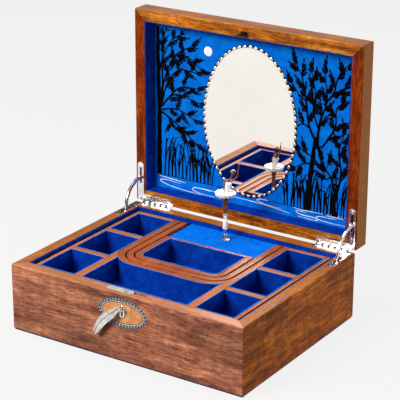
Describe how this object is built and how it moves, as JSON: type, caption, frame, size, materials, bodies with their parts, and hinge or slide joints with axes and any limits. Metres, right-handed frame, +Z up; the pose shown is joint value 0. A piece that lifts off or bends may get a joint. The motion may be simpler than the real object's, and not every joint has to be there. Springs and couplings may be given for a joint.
{
  "type": "musical jewellery box",
  "caption": "Wooden musical jewellery box with a mirrored lid on stayed hinges, a lined compartment tray, a feather key, and a turning dancer that folds down as the lid closes.",
  "frame": {"origin": "centre of the underside of the box, on the face of the baize it stands on", "axes": "+Z up, +X to the right seen from the front, -Y towards the front with the lock, lid open at rest"},
  "size_m": [0.32, 0.2873, 0.3379],
  "materials": {
    "walnut": "oiled satin walnut",
    "tray_wood": "oiled satin walnut, cut edges",
    "plywood": "plain birch plywood",
    "baize": "dark blue baize",
    "suede": "royal blue suede-finish lining",
    "inlay": "light veneer oval with a banded edge",
    "chrome": "polished nickel plate",
    "steel": "turned and ground steel",
    "brass": "machined brass",
    "mirror": "silvered plate glass",
    "white_plastic": "white moulded plastic",
    "painted_figure": "hand-painted cast resin",
    "tulle": "stiff white net"
  },
  "bodies": {
    "case": {"base_baize": "baize", "base_board": "plywood", "wall_front": "walnut", "wall_back": "walnut", "wall_left": "walnut", "wall_right": "walnut", "case_lining": "suede", "tray_ledge_left": "plywood", "tray_ledge_right": "plywood", "tray_base": "plywood", "band_outer": "tray_wood", "band_middle": "tray_wood", "band_inner": "tray_wood", "tray_wall_left": "tray_wood", "tray_wall_rear_left": "tray_wood", "tray_divider_rear_left": "tray_wood", "tray_divider_front_left": "tray_wood", "tray_partition_left": "tray_wood", "tray_wall_right": "tray_wood", "tray_wall_rear_right": "tray_wood", "tray_divider_rear_right": "tray_wood", "tray_divider_front_right": "tray_wood", "tray_partition_right": "tray_wood", "tray_wall_front": "tray_wood", "music_housing": "suede", "movement_bed": "steel", "movement_barrel": "brass", "movement_comb": "steel", "deck_flange": "chrome", "hinge_leaf_case_right": "chrome", "hinge_leaf_case_left": "chrome", "hinge_pin_right": "steel", "hinge_pin_left": "steel", "lock_case": "chrome", "oval_inlay": "inlay", "keyhole_plate": "chrome"},
    "lid": {"lid_rail_front": "walnut", "lid_rail_back": "walnut", "lid_rail_left": "walnut", "lid_rail_right": "walnut", "lid_panel": "walnut", "lid_lining": "suede", "scene_panel": "suede", "mirror_glass": "mirror", "mirror_bezel": "chrome", "lock_striker": "chrome", "hinge_leaf_lid_right": "chrome", "hinge_leaf_lid_left": "chrome"},
    "stay_right": {"stay_right": "chrome"},
    "stay_left": {"stay_left": "chrome"},
    "post": {"tilt_post": "chrome"},
    "dancer": {"dancer_sleeve": "white_plastic", "dancer_figure": "painted_figure", "tutu": "tulle"},
    "cylinder": {"movement_cylinder": "brass"},
    "spindle": {"drive_spindle": "steel"},
    "winding_key": {"winding_key": "brass"},
    "bolt": {"lock_bolt": "brass"},
    "key": {"feather_key": "chrome"}
  },
  "joints": [
    {"name": "lid_hinge", "type": "hinge", "parent": "case", "child": "lid", "pos_m": [0, 0.1277, 0.08415], "axis": [1, 0, 0], "range_deg": [0, 90]},
    {"name": "stay_right_slide", "type": "hinge", "parent": "case", "child": "stay_right", "pos_m": [0, 0.1277, 0.08415], "axis": [1, 0, 0], "range_deg": [0, 64.81]},
    {"name": "stay_left_slide", "type": "hinge", "parent": "case", "child": "stay_left", "pos_m": [0, 0.1277, 0.08415], "axis": [1, 0, 0], "range_deg": [0, 64.81]},
    {"name": "dancer_fold", "type": "hinge", "parent": "case", "child": "post", "pos_m": [0, 0.089, 0.085], "axis": [1, 0, 0], "range_deg": [0, 90]},
    {"name": "dancer_turn", "type": "hinge", "parent": "post", "child": "dancer", "pos_m": [0, 0.089, 0.085], "axis": [0, 0, 1], "continuous": true},
    {"name": "cylinder_turn", "type": "hinge", "parent": "case", "child": "cylinder", "pos_m": [0, 0.096, 0.019], "axis": [1, 0, 0], "continuous": true},
    {"name": "spindle_turn", "type": "hinge", "parent": "case", "child": "spindle", "pos_m": [0, 0.089, 0.03], "axis": [0, 0, 1], "continuous": true},
    {"name": "winding_turn", "type": "hinge", "parent": "case", "child": "winding_key", "pos_m": [0.016, 0.08, 0.004], "axis": [0, 0, 1], "continuous": true},
    {"name": "key_turn", "type": "hinge", "parent": "case", "child": "key", "pos_m": [0, -0.126, 0.066], "axis": [0, 1, 0], "range_deg": [0, 90]},
    {"name": "bolt_slide", "type": "slide", "parent": "case", "child": "bolt", "axis": [-1, 0, 0], "range_m": [0, 0.00451]}
  ],
  "couplings": [
    {"joint": "stay_right_slide", "follows": "lid_hinge", "ratio": 0.72},
    {"joint": "stay_left_slide", "follows": "lid_hinge", "ratio": 0.72},
    {"joint": "dancer_fold", "follows": "lid_hinge", "ratio": 1},
    {"joint": "dancer_turn", "follows": "cylinder_turn", "ratio": 1},
    {"joint": "spindle_turn", "follows": "cylinder_turn", "ratio": 1},
    {"joint": "bolt_slide", "follows": "key_turn", "m_per_rad": 0.0028648}
  ]
}
